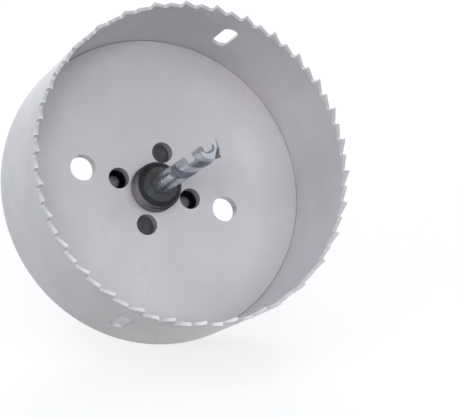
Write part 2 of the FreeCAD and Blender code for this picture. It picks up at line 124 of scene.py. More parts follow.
class Blank:
    """A closed mesh in the tool's millimetres, worked until it is a piece."""

    def __init__(self) -> None:
        """Start with nothing."""
        self.mesh = bmesh.new()

    @classmethod
    def turned(cls, outline: Sequence[tuple[float, float]], steps: int = 96) -> "Blank":
        """Turn an outline about the axis.

        Args:
            outline: pairs of radius and level; it is closed unless both ends are on the axis.
            steps: how many steps go round.

        Returns:
            The turned blank.
        """
        blank = cls()
        verts = [blank.mesh.verts.new((radius, 0.0, level)) for radius, level in outline]
        pairs = list(zip(verts, verts[1:]))
        if outline[0][0] > 0 or outline[-1][0] > 0:
            pairs.append((verts[-1], verts[0]))
        edges = [blank.mesh.edges.new(pair) for pair in pairs]
        bmesh.ops.spin(
            blank.mesh, geom=verts + edges, cent=(0, 0, 0), axis=(0, 0, 1),
            angle=FULL_TURN, steps=steps, use_merge=True,
        )
        return blank.closed()

    @classmethod
    def prism(cls, sides: int, radius: float, low: float, high: float) -> "Blank":
        """Make an upright prism on the axis.

        Args:
            sides: how many sides it has.
            radius: out to the corners.
            low: the level of its bottom.
            high: the level of its top.

        Returns:
            The prism.
        """
        blank = cls()
        bmesh.ops.create_cone(
            blank.mesh, cap_ends=True, segments=sides, radius1=radius, radius2=radius,
            depth=high - low, matrix=Matrix.Translation((0, 0, (low + high) / 2)),
        )
        return blank

    def closed(self) -> "Blank":
        """Merge the doubles, turn the faces outwards and return the blank."""
        bmesh.ops.remove_doubles(self.mesh, verts=self.mesh.verts, dist=MERGE)
        bmesh.ops.recalc_face_normals(self.mesh, faces=self.mesh.faces)
        return self

    def moved(self, matrix: Matrix) -> "Blank":
        """Move the blank and return it."""
        bmesh.ops.transform(self.mesh, matrix=matrix, verts=self.mesh.verts)
        return self

    def join(self, other: "Blank") -> "Blank":
        """Take another blank's shells into this one.

        Args:
            other: the blank that is used up.

        Returns:
            This blank.
        """
        data = bpy.data.meshes.new("joined")
        other.mesh.to_mesh(data)
        other.mesh.free()
        self.mesh.from_mesh(data)
        bpy.data.meshes.remove(data)
        return self

    def worked(self, other: "Blank", operation: str) -> "Blank":
        """Cut this blank with another one.

        Args:
            other: the cutter, which is used up.
            operation: the Boolean modifier's own word for it. It can lose faces where those of
                the two lie in one plane, so a cutter stands out beyond what it cuts.

        Returns:
            This blank.
        """
        blank_object = self.to_object("blank")
        cutter = other.to_object("cutter")
        boolean = blank_object.modifiers.new("cut", "BOOLEAN")
        boolean.operation = operation
        boolean.solver = "EXACT"
        boolean.object = cutter
        bpy.context.view_layer.update()
        depsgraph = bpy.context.evaluated_depsgraph_get()
        data = bpy.data.meshes.new_from_object(blank_object.evaluated_get(depsgraph))
        self.mesh = bmesh.new()
        self.mesh.from_mesh(data)
        bpy.data.meshes.remove(data)
        for used in (blank_object, cutter):
            old = used.data
            bpy.data.objects.remove(used)
            bpy.data.meshes.remove(old)
        return self

    def cut(self, other: "Blank") -> "Blank":
        """Take another blank's space out of this one."""
        return self.worked(other, "DIFFERENCE")

    def kept(self, other: "Blank") -> "Blank":
        """Keep only what lies within another blank."""
        return self.worked(other, "INTERSECT")

    def softened(self, width: float, steps: int = 2, limit: float = 35.0) -> "Blank":
        """Round the sharp edges.

        Args:
            width: the bevel's width.
            steps: its segments.
            limit: the angle in degrees from which an edge counts as sharp.

        Returns:
            This blank.
        """
        sharp = [
            edge for edge in self.mesh.edges
            if edge.is_manifold and edge.calc_face_angle(0.0) > math.radians(limit)
        ]
        bmesh.ops.bevel(
            self.mesh, geom=sharp, offset=width, offset_type="OFFSET", segments=steps,
            profile=0.5, affect="EDGES", clamp_overlap=True, material=-1,
        )
        return self

    def to_object(self, name: str) -> bpy.types.Object:
        """Hand the mesh over to a new object.

        Args:
            name: the object's name.

        Returns:
            The object, linked to the scene.
        """
        data = bpy.data.meshes.new(name)
        self.mesh.to_mesh(data)
        self.mesh.free()
        made = bpy.data.objects.new(name, data)
        bpy.context.scene.collection.objects.link(made)
        return made

    def piece(
        self, name: str, body: Body, slot: Slot, material: bpy.types.Material,
        nodes: Iterable[str] = (), smooth: float = 32.0,
    ) -> bpy.types.Object:
        """Lay the blank in the frame as a finished piece.

        Args:
            name: the piece's name.
            body: the body that it rides on.
            slot: the record's slot for its finish; not used.
            material: its finish.
            nodes: the solids that it stands for.
            smooth: the angle in degrees up to which faces shade as one.

        Returns:
            The finished object.
        """
        self.moved(LAY.matrix())
        made = self.to_object(name)
        made.data.materials.append(material)
        made.data.shade_smooth()
        made.data.set_sharp_from_angle(angle=math.radians(smooth))
        weighted = made.modifiers.new("even", "WEIGHTED_NORMAL")
        weighted.keep_sharp = True
        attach(made, body.value)
        for node in nodes:
            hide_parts(node)
        log.info("%s: %d faces, rides on %s", name, len(made.data.polygons), body.value)
        return made


def arc(
    centre: tuple[float, float], radius: float, start: float, end: float, steps: int
) -> list[tuple[float, float]]:
    """List the points of an arc.

    Args:
        centre: its middle.
        radius: its radius.
        start: the first angle in degrees.
        end: the last angle in degrees.
        steps: how many chords it has.

    Returns:
        The points, both ends included.
    """
    angles = [math.radians(start + (end - start) * step / steps) for step in range(steps + 1)]
    return [(centre[0] + radius * math.cos(a), centre[1] + radius * math.sin(a)) for a in angles]


def at_turn(radius: float, turn: float) -> Matrix:
    """Return the place of a hole at a radius and at an angle in degrees round the axis."""
    return Matrix.Rotation(math.radians(turn), 4, "Z") @ Matrix.Translation((radius, 0, 0))


# ---------------------------------------------------------------- finishes


def colour(sheet: str) -> tuple[float, float, float, float]:
    """Turn an sRGB colour to the linear one that the shaders take.

    Args:
        sheet: the colour as a hex value.

    Returns:
        Red, green, blue and an alpha of one.
    """
    parts = [int(sheet[place:place + 2], 16) / 255 for place in (1, 3, 5)]
    linear = [p / 12.92 if p <= 0.04045 else ((p + 0.055) / 1.055) ** 2.4 for p in parts]
    return (*linear, 1.0)


def add(tree: bpy.types.NodeTree, kind: str, inputs: dict, **settings: object) -> bpy.types.Node:
    """Add a node with its settings, values and links.

    Args:
        tree: the material's node tree.
        kind: the node's type.
        inputs: values, or sockets to link from, by the name or number of the input.
        settings: the node's own settings.

    Returns:
        The node.
    """
    node = tree.nodes.new(kind)
    for name, value in settings.items():
        setattr(node, name, value)
    for key, value in inputs.items():
        if isinstance(value, bpy.types.NodeSocket):
            tree.links.new(value, node.inputs[key])
        else:
            node.inputs[key].default_value = value
    return node


def new_material(name: str) -> tuple[bpy.types.Material, bpy.types.NodeTree]:
    """Start a material with an empty tree.

    Args:
        name: the material's name.

    Returns:
        The material and its tree.
    """
    material = bpy.data.materials.new(name)
    material.use_nodes = True
    material.node_tree.nodes.clear()
    return material, material.node_tree


def tool_space(tree: bpy.types.NodeTree) -> bpy.types.NodeSocket:
    """Add the place of a point about the arbor's axis, in metres.

    Args:
        tree: the material's node tree.

    Returns:
        The socket that gives it, with Z along the axis.
    """
    coordinates = add(tree, "ShaderNodeTexCoord", {})
    mapping = add(
        tree, "ShaderNodeMapping",
        {"Vector": coordinates.outputs["Object"], "Location": LAY.origin,
         "Rotation": (LAY.lean, 0, 0)},
        vector_type="TEXTURE",
    )
    return mapping.outputs["Vector"]


@dataclass(frozen=True)
class Enamel:
    """Sprayed and baked enamel on steel: glossy, with a fine orange peel."""

    name: str
    paint: str
    shade: str
    # The dimples of the peel and the clouds of the tone, in millimetres.
    peel: float = 1.1
    peel_depth: float = 0.06
    cloud: float = 14.0
    roughness: float = 0.3
    # A painted highlight makes the paint pale between two levels, by default beyond the tool, so
    # that it shows nowhere.
    painted_highlight: str = "#E6E6E4"
    highlight_from: float = 90.0
    highlight_to: float = 91.0

    def material(self) -> bpy.types.Material:
        """Build the finish.

        Returns:
            A glossy paint whose tone drifts a little, with a painted highlight that makes it pale
            where the teeth are.
        """
        material, tree = new_material(self.name)
        place = tool_space(tree)
        clouds = add(
            tree, "ShaderNodeTexNoise",
            {"Vector": place, "Scale": 1 / (self.cloud * MM), "Detail": 4.0, "Roughness": 0.6},
        ).outputs["Fac"]
        peel = add(
            tree, "ShaderNodeTexNoise",
            {"Vector": place, "Scale": 1 / (self.peel * MM), "Detail": 2.0, "Roughness": 0.5},
        ).outputs["Fac"]
        drift = add(
            tree, "ShaderNodeMapRange", {"Value": clouds, "From Min": 0.2, "From Max": 0.85})
        tone = add(
            tree, "ShaderNodeMix",
            {"Factor": drift.outputs["Result"], "A": colour(self.paint), "B": colour(self.shade)},
            data_type="RGBA",
        )
        level = add(tree, "ShaderNodeSeparateXYZ", {"Vector": place}).outputs["Z"]
        # Painted highlight: the paint turns pale between the two levels, broken up in patches of
        # the peel.
        height = add(
            tree, "ShaderNodeMapRange",
            {"Value": level, "From Min": self.highlight_from * MM, "From Max": self.highlight_to * MM})
        patches = add(
            tree, "ShaderNodeMapRange",
            {"Value": peel, "From Min": 0.3, "From Max": 0.6, "To Min": 0.35})
        highlight_mask = add(
            tree, "ShaderNodeMath",
            {0: height.outputs["Result"], 1: patches.outputs["Result"]}, operation="MULTIPLY")
        paint = add(
            tree, "ShaderNodeMix",
            {"Factor": highlight_mask.outputs[0], "A": tone.outputs["Result"], "B": colour(self.painted_highlight)},
            data_type="RGBA",
        )
        gloss = add(
            tree, "ShaderNodeMapRange",
            {"Value": clouds, "From Min": 0.15, "From Max": 0.85,
             "To Min": self.roughness - 0.08, "To Max": self.roughness + 0.12})
        bump = add(
            tree, "ShaderNodeBump",
            {"Height": peel, "Strength": 0.1, "Distance": self.peel_depth * MM})
        shader = add(
            tree, "ShaderNodeBsdfPrincipled",
            {"Base Color": paint.outputs["Result"], "Roughness": gloss.outputs["Result"],
             "Normal": bump.outputs["Normal"],
             "IOR": 1.5, "Coat Weight": 0.35, "Coat Roughness": 0.12},
        )
        add(tree, "ShaderNodeOutputMaterial", {"Surface": shader.outputs["BSDF"]})
        return material


@dataclass(frozen=True)
class TurnedMetal:
    """Metal cut or ground round the axis: fine tool marks, stains and rubbed places."""

    name: str
    ground: str
    stain: str
    roughness: float
    # Millimetres; real tool marks are about 0.1 apart, and these are coarser so that they show.
    mark: float
    stain_size: float
    mark_depth: float = 0.04
    depth: float = 0.3
    spread: float = 0.1

    def material(self) -> bpy.types.Material:
        """Build the finish.

        Returns:
            A metal whose tool marks run round the axis, on its sides and on its faces.
        """
        material, tree = new_material(self.name)
        place = tool_space(tree)
        level = add(tree, "ShaderNodeSeparateXYZ", {"Vector": place}).outputs["Z"]
        flat = add(
            tree, "ShaderNodeVectorMath", {0: place, 1: (1.0, 1.0, 0.0)}, operation="MULTIPLY")
        radius = add(tree, "ShaderNodeVectorMath", {0: flat.outputs["Vector"]}, operation="LENGTH")
        along = add(
            tree, "ShaderNodeMath", {0: radius.outputs["Value"], 1: level}, operation="SUBTRACT")
        marks = add(
            tree, "ShaderNodeTexNoise",
            {"W": along.outputs[0], "Scale": 1 / (self.mark * MM), "Detail": 2.0,
             "Roughness": 0.6},
            noise_dimensions="1D",
        ).outputs["Fac"]
        stains = add(
            tree, "ShaderNodeTexNoise",
            {"Vector": place, "Scale": 1 / (self.stain_size * MM), "Detail": 4.0,
             "Roughness": 0.6},
        ).outputs["Fac"]
        stained = add(
            tree, "ShaderNodeMapRange", {"Value": stains, "From Min": 0.45, "From Max": 0.7})
        tone = add(
            tree, "ShaderNodeMix",
            {"Factor": stained.outputs["Result"],
             "A": colour(self.ground), "B": colour(self.stain)},
            data_type="RGBA",
        )
        gloss = add(
            tree, "ShaderNodeMapRange",
            {"Value": stains, "From Min": 0.3, "From Max": 0.7,
             "To Min": self.roughness - self.spread / 2, "To Max": self.roughness + self.spread})
        bump = add(
            tree, "ShaderNodeBump",
            {"Height": marks, "Strength": self.depth, "Distance": self.mark_depth * MM})
        shader = add(
            tree, "ShaderNodeBsdfPrincipled",
            {"Base Color": tone.outputs["Result"], "Metallic": 1.0,
             "Roughness": gloss.outputs["Result"], "Normal": bump.outputs["Normal"]},
        )
        add(tree, "ShaderNodeOutputMaterial", {"Surface": shader.outputs["BSDF"]})
        return material


# The paint gives a pale, faintly lilac grey with soft, broad reflections.
PAINT = Enamel("glossy_pale_enamel", paint="#D7D3D5", shade="#CAC8CD")

# On the teeth a painted highlight makes them whiter towards their tips.
TOOTH_PAINT = Enamel(
    "enamel_with_painted_tip_highlight", paint="#D3D0D3", shade="#CDCACD", highlight_from=41.2, highlight_to=44.0)

# Oiled black oxide looks nearly black, with grey sheen and brown where oil has dried.
OXIDE = TurnedMetal(
    "oiled_black_oxide", ground="#4A4D52", stain="#4A423E", roughness=0.5, mark=0.22,
    stain_size=2.2)

# The threads' crests are burnished, so that they catch small bright and brown glints.
THREAD = TurnedMetal(
    "burnished_thread", ground="#66686E", stain="#6B5343", roughness=0.2, mark=0.3,
    stain_size=5.0, depth=0.15)

# The pins are dark turned steel that the holes keep in shade.
PIN_STEEL = TurnedMetal(
    "turned_pin_steel", ground="#5A5B60", stain="#48484A", roughness=0.36, mark=0.2,
    stain_size=1.5)

# The drill is ground bright, with a cold grey sheen and only faint marks.
GROUND_STEEL = TurnedMetal(
    "ground_drill_steel", ground="#BEC3CB", stain="#AEB4BE", roughness=0.2, mark=0.2,
    stain_size=4.0, depth=0.05, spread=0.05)

# Its shank is duller than the flutes, so that it stays grey down to the arbor.
SHANK_STEEL = TurnedMetal(
    "dull_shank_steel", ground="#C6CAD1", stain="#B2B8C1", roughness=0.26, mark=0.2,
    stain_size=4.0, depth=0.05, spread=0.05)


# ---------------------------------------------------------------- the saw


@dataclass
class SawCup:
    """The plate, the rolled wall and the toothed strip of the saw."""

    radius: float = 50.8
    wall: float = 1.1
    height: float = 44.5
    plate: float = 3.8
    rim_round: float = 2.6
    seat: float = 3.0
    seam: float = 0.12
    strip: float = 4.6
    tooth_height: float = 3.0
    tooth_set: float = 0.35
    tooth_land: float = 0.25
    gullet_round: float = 0.9
    teeth: int = 62
    slot_width: float = 4.8
    slot_low: float = 16.5
    slot_high: float = 32.5
    slot_turn: float = 59.2
    slot_reach: float = 5.0
    hole_turn: float = HOLE_TURN
    bore: float = 7.95
    pin_hole: float = PIN_HOLE
    pin_path: float = PIN_PATH
    slug_hole: float = 4.2
    slug_path: float = 24.7
    rim_steps: int = 248
    face_steps: int = 4
    plate_round: float = 0.22
    tooth_round: float = 0.1
    tooth_inset: float = 0.1
    clear: float = 1.0

    def build(self) -> None:
        """Make the three pieces of the cup."""
        paint = PAINT.material()
        self.make_plate(paint)
        self.make_wall(paint)
        self.make_teeth(TOOTH_PAINT.material())

    def make_plate(self, paint: bpy.types.Material) -> None:
        """Turn the plate and drill its holes.

        Args:
            paint: its finish.
        """
        inner = self.radius - self.wall - self.seam
        corner = (self.radius - self.rim_round, self.rim_round)
        blank = Blank.turned(
            [(self.bore, 0), *arc(corner, self.rim_round, -90, 0, 8), (self.radius, self.seat),
             (inner, self.seat), (inner, self.plate), (self.bore, self.plate)],
            steps=self.rim_steps,
        )
        for quarter in range(4):
            blank.cut(self.hole(self.pin_hole, self.pin_path, 90 * quarter))
        for half in range(2):
            blank.cut(self.hole(self.slug_hole, self.slug_path, 180 * half))
        blank.softened(self.plate_round)
        blank.piece("plate", Body.SAW, Slot.ENAMEL, paint, ["back_plate"])

    def hole(self, radius: float, path: float, turn: float) -> Blank:
        """Make the plug that drills one of the plate's holes."""
        plug = Blank.prism(64, radius, -self.clear, self.plate + self.clear)
        return plug.moved(at_turn(path, self.hole_turn + turn))

    def make_wall(self, paint: bpy.types.Material) -> None:
        """Turn the wall and mill its two slots.

        Args:
            paint: its finish.
        """
        inner, top = self.radius - self.wall, self.height - self.strip
        blank = Blank.turned(
            [(inner, self.seat), (self.radius, self.seat), (self.radius, top), (inner, top)],
            steps=self.rim_steps,
        )
        for half in range(2):
            blank.cut(self.slot(self.slot_turn + 180 * half))
        blank.piece("wall", Body.SAW, Slot.ENAMEL, paint, ["saw_wall"])

    def slot(self, turn: float) -> Blank:
        """Make the plug of one slot: two round ends and the block between them.

        Args:
            turn: where the slot is, in degrees round the axis.

        Returns:
            The plug, lying along the radius.
        """
        half = self.slot_width / 2
        plug = Blank()
        outline = [
            *arc((self.slot_high - half, 0), half, -90, 90, 16),
            *arc((self.slot_low + half, 0), half, 90, 270, 16),
        ]
        near = self.radius - self.slot_reach
        corners = [plug.mesh.verts.new((near, y, z)) for z, y in outline]
        face = plug.mesh.faces.new(corners)
        pulled = bmesh.ops.extrude_face_region(plug.mesh, geom=[face])
        moved = [item for item in pulled["geom"] if isinstance(item, bmesh.types.BMVert)]
        bmesh.ops.translate(plug.mesh, verts=moved, vec=(2 * self.slot_reach, 0, 0))
        return plug.closed().moved(Matrix.Rotation(math.radians(turn), 4, "Z"))

    def make_teeth(self, paint: bpy.types.Material) -> None:
        """Cut the teeth in a flat strip, set them out and in by turns, and roll the strip.

        Args:
            paint: their finish.
        """
        pitch = FULL_TURN * self.radius / self.teeth
        weld, root = self.height - self.strip, self.height - self.tooth_height
        blank = Blank()
        outline = [
            (0, weld), (pitch, weld), (pitch, root),
            *self.tooth_outline(pitch, root),
            (0, root),
        ]
        face = blank.mesh.faces.new([blank.mesh.verts.new((x, 0, z)) for x, z in outline])
        for step in range(1, self.face_steps):
            self.score(blank, Vector((pitch * step / self.face_steps, 0, 0)), Vector((1, 0, 0)))
        self.score(blank, Vector((0, 0, root)), Vector((0, 0, 1)))
        self.score(blank, Vector((0, 0, root + self.gullet_round)), Vector((0, 0, 1)))
        cell = list(blank.mesh.verts) + list(blank.mesh.edges) + list(blank.mesh.faces)
        for tooth in range(1, self.teeth):
            copy = bmesh.ops.duplicate(blank.mesh, geom=cell)
            verts = [item for item in copy["geom"] if isinstance(item, bmesh.types.BMVert)]
            bmesh.ops.translate(blank.mesh, verts=verts, vec=(pitch * tooth, 0, 0))
        bmesh.ops.remove_doubles(blank.mesh, verts=blank.mesh.verts, dist=MERGE)
        sheet = list(blank.mesh.faces)
        pulled = bmesh.ops.extrude_face_region(blank.mesh, geom=sheet, use_keep_orig=True)
        back = [item for item in pulled["geom"] if isinstance(item, bmesh.types.BMVert)]
        bmesh.ops.translate(blank.mesh, verts=back, vec=(0, self.wall, 0))
        self.roll(blank, pitch, root)
        blank.closed().softened(self.tooth_round, steps=1, limit=30)
        blank.piece("toothed_strip", Body.SAW, Slot.TEETH, paint, ["cutting_edge"])

    def tooth_outline(self, pitch: float, root: float) -> list[tuple[float, float]]:
        """List one tooth's outline from the gullet before it, tip first.

        Args:
            pitch: the length of one tooth along the strip.
            root: the level of the gullets' bottoms.

        Returns:
            The points from the far end of the tooth back to its near end.
        """
        edge = pitch - self.gullet_round - self.tooth_inset
        middle = (pitch - self.tooth_inset, root + self.gullet_round)
        gullet = arc(middle, self.gullet_round, 270, 180, 5)
        land = edge - self.tooth_land
        return [*gullet, (edge, self.height), (land, self.height), (self.tooth_inset, root)]

    def score(self, blank: Blank, place: Vector, normal: Vector) -> None:
        """Divide the flat strip along a straight line.

        Args:
            blank: the strip.
            place: a point on the line.
            normal: the direction across it.
        """
        everything = list(blank.mesh.verts) + list(blank.mesh.edges) + list(blank.mesh.faces)
        bmesh.ops.bisect_plane(
            blank.mesh, geom=everything, plane_co=place, plane_no=normal, dist=MERGE)

    def roll(self, blank: Blank, pitch: float, root: float) -> None:
        """Set the teeth and roll the strip into its ring.

        Args:
            blank: the flat strip, its length along X and its thickness along Y.
            pitch: the length of one tooth.
            root: the level where the set begins.
        """
        for vert in blank.mesh.verts:
            along, depth, level = vert.co
            tooth = math.floor(along / pitch - BORDER)
            lean = self.tooth_set * max(0.0, level - root) / self.tooth_height
            radius = self.radius - depth + (lean if tooth % 2 == 0 else -lean)
            angle = (along / pitch - 0.5) * FULL_TURN / self.teeth
            vert.co = (radius * math.cos(angle), radius * math.sin(angle), level)


# ---------------------------------------------------------------- the arbor


@dataclass
class Arbor:
    """The turned arbor, its drive plate with two pins, and the nut behind it."""

    thread: float = 7.9
    thread_root: float = 7.05
    pitch: float = 1.411
    nose_top: float = 10.3
    nose_bevel: float = 2.2
    bore: float = 3.225
    flange: float = 17.0
    flange_width: float = 7.0
    thread_end: float = 34.0
    boss: float = 7.0
    boss_end: float = 46.0
    hex_flats: float = 11.1
    hex_end: float = 12.0
    shank_end: float = 84.0
    bevel: float = 0.6
    pin_path: float = PIN_PATH
    pin_hole: float = PIN_HOLE
    pin: float = 3.0
    pin_bevel: float = 0.9
    pin_top: float = 2.5
    hole_turn: float = HOLE_TURN
    screw: float = 3.05
    screw_level: float = -40.0
    # At the end of its slide the plate stops 0.03 mm short of the flange's plane.
    drive_front: float = 12.83
    drive_back: float = 17.8
    slide_gap: float = 0.3
    nut_back: float = 25.8
    nut_flats: float = 24.0
    nut_turn: float = 14.0
    # Two cones bevel the nut's corners from inside its flats, and two more open its bore.
    nut_inset: float = 0.3
    nut_slope: float = 30.0
    nut_gap: float = 0.05
    mouth_width: float = 1.8
    mouth_depth: float = 0.8
    # A thread's ridge: half widths at its foot and its crest, in pitches.
    ridge_half: float = 0.46
    ridge_blunt: float = 0.07
    ridge_sink: float = 0.1
    ridge_steps: int = 48
    # How far the two threads stay from the ends of what they are cut on.
    nose_start: float = 0.9
    nose_spare: float = 0.4
    rear_spare: float = 0.8
    bore_floor: float = 2.0
    shank_sink: float = 0.5
    groove: float = 0.4
    groove_top: float = 0.5
    groove_foot: float = 0.3
    pin_fit: float = 0.02
    drive_round: float = 0.12
    clear: float = 1.0

    def build(self) -> None:
        """Make the arbor and what slides and turns on it."""
        oxide = OXIDE.material()
        self.make_body(oxide)
        self.make_threads(THREAD.material())
        self.make_drive(oxide, PIN_STEEL.material())
        self.make_nut(oxide)
        screw = frame["nodes"]["set_screw"]
        screw.data.materials.clear()
        screw.data.materials.append(oxide)

    def make_body(self, oxide: bpy.types.Material) -> None:
        """Turn the arbor, mill its shank and drill the flange, the bore and the screw's hole.

        Args:
            oxide: its finish.
        """
        top, root, land = self.nose_top, self.thread_root, self.thread - self.nose_bevel
        blank = Blank.turned(
            [(0, top), (land, top), (root, top - (root - land)), (root, 0),
             (self.flange - self.bevel, 0), (self.flange, -self.bevel),
             (self.flange, self.bevel - self.flange_width),
             (self.flange - self.bevel, -self.flange_width), (root, -self.flange_width),
             (root, -self.thread_end), (self.boss, -self.thread_end),
             (self.boss, self.bevel - self.boss_end), (self.boss - self.bevel, -self.boss_end),
             (0, -self.boss_end)],
        )
        for half in range(2):
            way = Blank.prism(64, self.pin_hole, -self.flange_width - self.clear, self.clear)
            blank.cut(way.moved(at_turn(self.pin_path, self.hole_turn + 180 * half)))
        blank.cut(Blank.prism(64, self.bore, -self.boss_end + self.bore_floor, top + self.clear))
        tapped = Blank.prism(48, self.screw, 0, self.boss + self.clear)
        upright = Matrix.Rotation(math.radians(-90), 4, "X")
        blank.cut(tapped.moved(Matrix.Translation((0, 0, self.screw_level)) @ upright))
        blank.piece("arbor", Body.SAW, Slot.OXIDE, oxide, ["arbor_body"])
        corner = self.hex_flats / math.sqrt(3)
        shank = Blank.prism(
            6, corner, -self.shank_end - self.clear, self.shank_sink - self.boss_end)
        shank.moved(Matrix.Rotation(math.radians(30), 4, "Z"))
        end = self.hex_end / 2
        shank.kept(Blank.turned(
            [(0, -self.shank_end), (end, -self.shank_end), (end + 1, 1 - self.shank_end),
             (end + 1, 0), (0, 0)]))
        shank.piece("hex_shank", Body.SAW, Slot.OXIDE, oxide)

    def make_threads(self, burnished: bpy.types.Material) -> None:
        """Cut the helical ridges of the nose and of the nut's thread.

        Args:
            burnished: their finish.
        """
        nose = self.ridge(self.nose_start, self.nose_top - self.nose_spare)
        crest, top = self.thread, self.nose_top
        nose.kept(Blank.turned(
            [(0, 0), (crest + 1, 0), (crest + 1, top - self.nose_bevel - 1),
             (crest - self.nose_bevel, top), (0, top)]))
        nose.piece("nose_thread", Body.SAW, Slot.OXIDE, burnished, ["arbor_body"])
        rear = self.ridge(
            self.rear_spare - self.thread_end, -self.rear_spare - self.flange_width)
        rear.piece("nut_thread", Body.SAW, Slot.OXIDE, burnished, ["arbor_body"])

    def ridge(self, low: float, high: float) -> Blank:
        """Make the ridge of a thread.

        Args:
            low: the level of its lower end.
            high: the level of its upper end.

        Returns:
            The ridge, a blunt V that is carried up a right-hand helix.
        """
        ridge = Blank()
        half, blunt = self.pitch * self.ridge_half, self.pitch * self.ridge_blunt
        foot = self.thread_root - self.ridge_sink
        section = [(foot, -half), (self.thread, -blunt), (self.thread, blunt), (foot, half)]
        verts = [ridge.mesh.verts.new((radius, 0, low + half + rise)) for radius, rise in section]
        face = ridge.mesh.faces.new(verts)
        turns = (high - low - 2 * half) / self.pitch
        steps = round(self.ridge_steps * turns)
        bmesh.ops.spin(
            ridge.mesh, geom=[face, *face.edges, *verts], cent=(0, 0, 0), axis=(0, 0, 1),
            angle=turns * FULL_TURN, steps=steps, dvec=(0, 0, turns * self.pitch / steps),
        )
        return ridge.closed()

    def make_drive(self, oxide: bpy.types.Material, steel: bpy.types.Material) -> None:
        """Turn the sliding plate and its two pins.

        Args:
            oxide: the plate's finish.
            steel: the pins' finish.
        """
        inner, outer = self.thread + self.slide_gap, self.flange
        middle = (self.drive_front + self.drive_back) / 2
        floor = outer - self.groove
        blank = Blank.turned(
            [(inner, -self.drive_front), (outer - self.bevel, -self.drive_front),
             (outer, -self.drive_front - self.bevel), (outer, self.groove_top - middle),
             (floor, self.groove_foot - middle), (floor, -self.groove_foot - middle),
             (outer, -self.groove_top - middle), (outer, self.bevel - self.drive_back),
             (outer - self.bevel, -self.drive_back), (inner, -self.drive_back)])
        for half in range(2):
            seat = Blank.prism(
                48, self.pin + self.pin_fit, -self.drive_back - self.clear,
                self.clear - self.drive_front)
            blank.cut(seat.moved(at_turn(self.pin_path, self.hole_turn + 180 * half)))
        blank.softened(self.drive_round)
        blank.piece("drive_ring", Body.DRIVE, Slot.OXIDE, oxide, ["drive_plate"])
        pins = Blank()
        for half in range(2):
            pin = Blank.turned(
                [(0, -self.pin_top), (self.pin - self.pin_bevel, -self.pin_top),
                 (self.pin, -self.pin_top - self.pin_bevel), (self.pin, -self.drive_back),
                 (0, -self.drive_back)], steps=48)
            pins.join(pin.moved(at_turn(self.pin_path, self.hole_turn + 180 * half)))
        pins.softened(self.drive_round)
        pins.piece("pins", Body.DRIVE, Slot.TURNED, steel, ["drive_pins"])

    def make_nut(self, oxide: bpy.types.Material) -> None:
        """Make the nut: a hexagon kept within two cones, bored and bevelled.

        Args:
            oxide: its finish.
        """
        corner, flat = self.nut_flats / math.sqrt(3), self.nut_flats / 2
        front, back = -self.drive_back, -self.nut_back
        nut = Blank.prism(6, corner, back - self.clear, front + self.clear)
        nut.moved(Matrix.Rotation(math.radians(30 + self.nut_turn), 4, "Z"))
        wide, face = corner + self.clear, flat - self.nut_inset
        drop = (wide - flat + self.nut_inset) * math.tan(math.radians(self.nut_slope))
        nut.kept(Blank.turned(
            [(0, front), (face, front), (wide, front - drop), (wide, back + drop), (face, back),
             (0, back)], steps=128))
        bore = self.thread + self.nut_gap
        mouth = bore + self.mouth_width
        nut.cut(Blank.turned(
            [(0, front + self.clear), (mouth, front + self.clear), (bore, front - self.mouth_depth),
             (bore, back + self.mouth_depth), (mouth, back - self.clear), (0, back - self.clear)],
            steps=96))
        nut.piece("nut", Body.NUT, Slot.OXIDE, oxide, ["lock_nut"])


# ---------------------------------------------------------------- the drill


